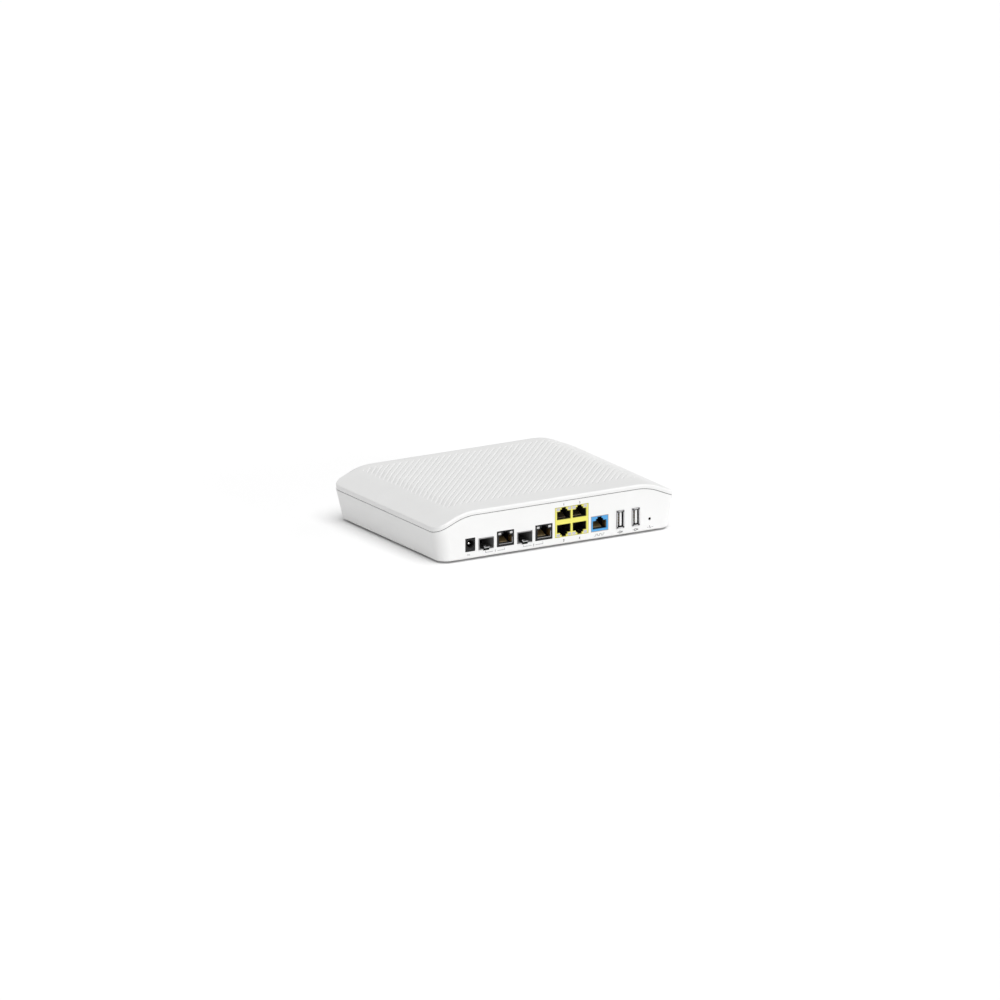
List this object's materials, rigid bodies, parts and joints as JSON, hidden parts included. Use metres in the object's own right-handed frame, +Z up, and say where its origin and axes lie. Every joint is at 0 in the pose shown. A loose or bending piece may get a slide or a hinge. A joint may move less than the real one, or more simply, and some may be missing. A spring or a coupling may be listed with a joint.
{
  "type": "optical network terminal",
  "caption": "Low white desktop fibre terminal box with a row of power, fibre cage, network, console and USB sockets.",
  "frame": {"origin": "centre of the bounding box on the desk surface under the feet", "axes": "+X to the right when facing the port face, +Y from the port face inward, +Z up"},
  "size_m": [0.23, 0.171, 0.0421],
  "materials": {
    "case_white": "fine satin moulded white plastic",
    "cover_white": "satin off-white moulded plastic with fine engraved diagonal grooves",
    "connector_black": "glass-filled black connector plastic",
    "reset_black": "black switch plunger",
    "connector_yellow": "yellow connector plastic",
    "connector_blue": "blue connector plastic",
    "light_pipe_clear": "milky clear light pipe",
    "sheet_steel": "tin-plated folded sheet",
    "pin_nickel": "nickel-plated turned pin",
    "contact_gold": "gold-flashed spring contacts",
    "board_green": "green solder mask",
    "chip_black": "moulded chip package",
    "pad_grey": "soft heat-conducting pad",
    "heat_sink_aluminium": "extruded aluminium",
    "peg_plastic": "nylon push peg",
    "capacitor_can": "aluminium can with dark sleeve",
    "ferrite_grey": "moulded ferrite",
    "ceramic_tan": "ceramic capacitor",
    "led_white": "surface-mounted light",
    "usb_white": "white connector plastic",
    "screw_steel": "zinc-plated screw",
    "foot_rubber": "soft grey rubber"
  },
  "bodies": {
    "case": {"board_ceramics": "ceramic_tan", "board_screws": "screw_steel", "case_screws": "screw_steel", "clock_crystal": "sheet_steel", "combo_jack_housing_1": "connector_black", "combo_jack_housing_2": "connector_black", "combo_jack_light_pipes_1": "light_pipe_clear", "combo_jack_light_pipes_2": "light_pipe_clear", "combo_jack_shield_1": "sheet_steel", "combo_jack_shield_2": "sheet_steel", "combo_jack_wires_1": "contact_gold", "combo_jack_wires_2": "contact_gold", "console_jack_bezel": "connector_blue", "console_jack_core": "connector_black", "console_jack_shield": "sheet_steel", "console_jack_wires": "contact_gold", "dc_centre_pin": "pin_nickel", "dc_contact_spring": "contact_gold", "dc_jack_housing": "connector_black", "flash_chip": "chip_black", "heat_sink": "heat_sink_aluminium", "heat_sink_pegs": "peg_plastic", "lan_block_bezel": "connector_yellow", "lan_block_core": "connector_black", "lan_block_light_pipes": "light_pipe_clear", "lan_block_shield": "sheet_steel", "lan_block_wires": "contact_gold", "lan_magnetics": "chip_black", "lower_case": "case_white", "main_board": "board_green", "memory_chips": "chip_black", "phy_chips": "chip_black", "power_capacitors": "capacitor_can", "power_inductors": "ferrite_grey", "reset_snap_dome": "sheet_steel", "reset_switch_body": "connector_black", "rubber_feet": "foot_rubber", "sfp_cage_1": "sheet_steel", "sfp_cage_2": "sheet_steel", "sfp_connector_1": "connector_black", "sfp_connector_2": "connector_black", "soc_chip": "chip_black", "status_leds": "led_white", "status_light_pipe": "light_pipe_clear", "switch_chip": "chip_black", "thermal_pad": "pad_grey", "top_cover": "cover_white", "usb_contacts_1": "contact_gold", "usb_contacts_2": "contact_gold", "usb_shell_1": "sheet_steel", "usb_shell_2": "sheet_steel", "usb_tongue_1": "usb_white", "usb_tongue_2": "usb_white"},
    "reset_plunger": {"reset_plunger": "reset_black"},
    "sfp_latch_1": {"sfp_latch_1": "sheet_steel"},
    "sfp_latch_2": {"sfp_latch_2": "sheet_steel"}
  },
  "joints": [
    {"name": "reset_press", "type": "slide", "parent": "case", "child": "reset_plunger", "axis": [0, 1, 0], "range_m": [0, 0.0003], "stiffness_N_per_m": 6000},
    {"name": "sfp_latch_1_flex", "type": "hinge", "parent": "case", "child": "sfp_latch_1", "pos_m": [-0.0675, -0.0726, 0.00808], "axis": [1, 0, 0], "range_deg": [0, 5], "stiffness_Nm_per_rad": 0.13},
    {"name": "sfp_latch_2_flex", "type": "hinge", "parent": "case", "child": "sfp_latch_2", "pos_m": [-0.0307, -0.0726, 0.00808], "axis": [1, 0, 0], "range_deg": [0, 5], "stiffness_Nm_per_rad": 0.13}
  ]
}
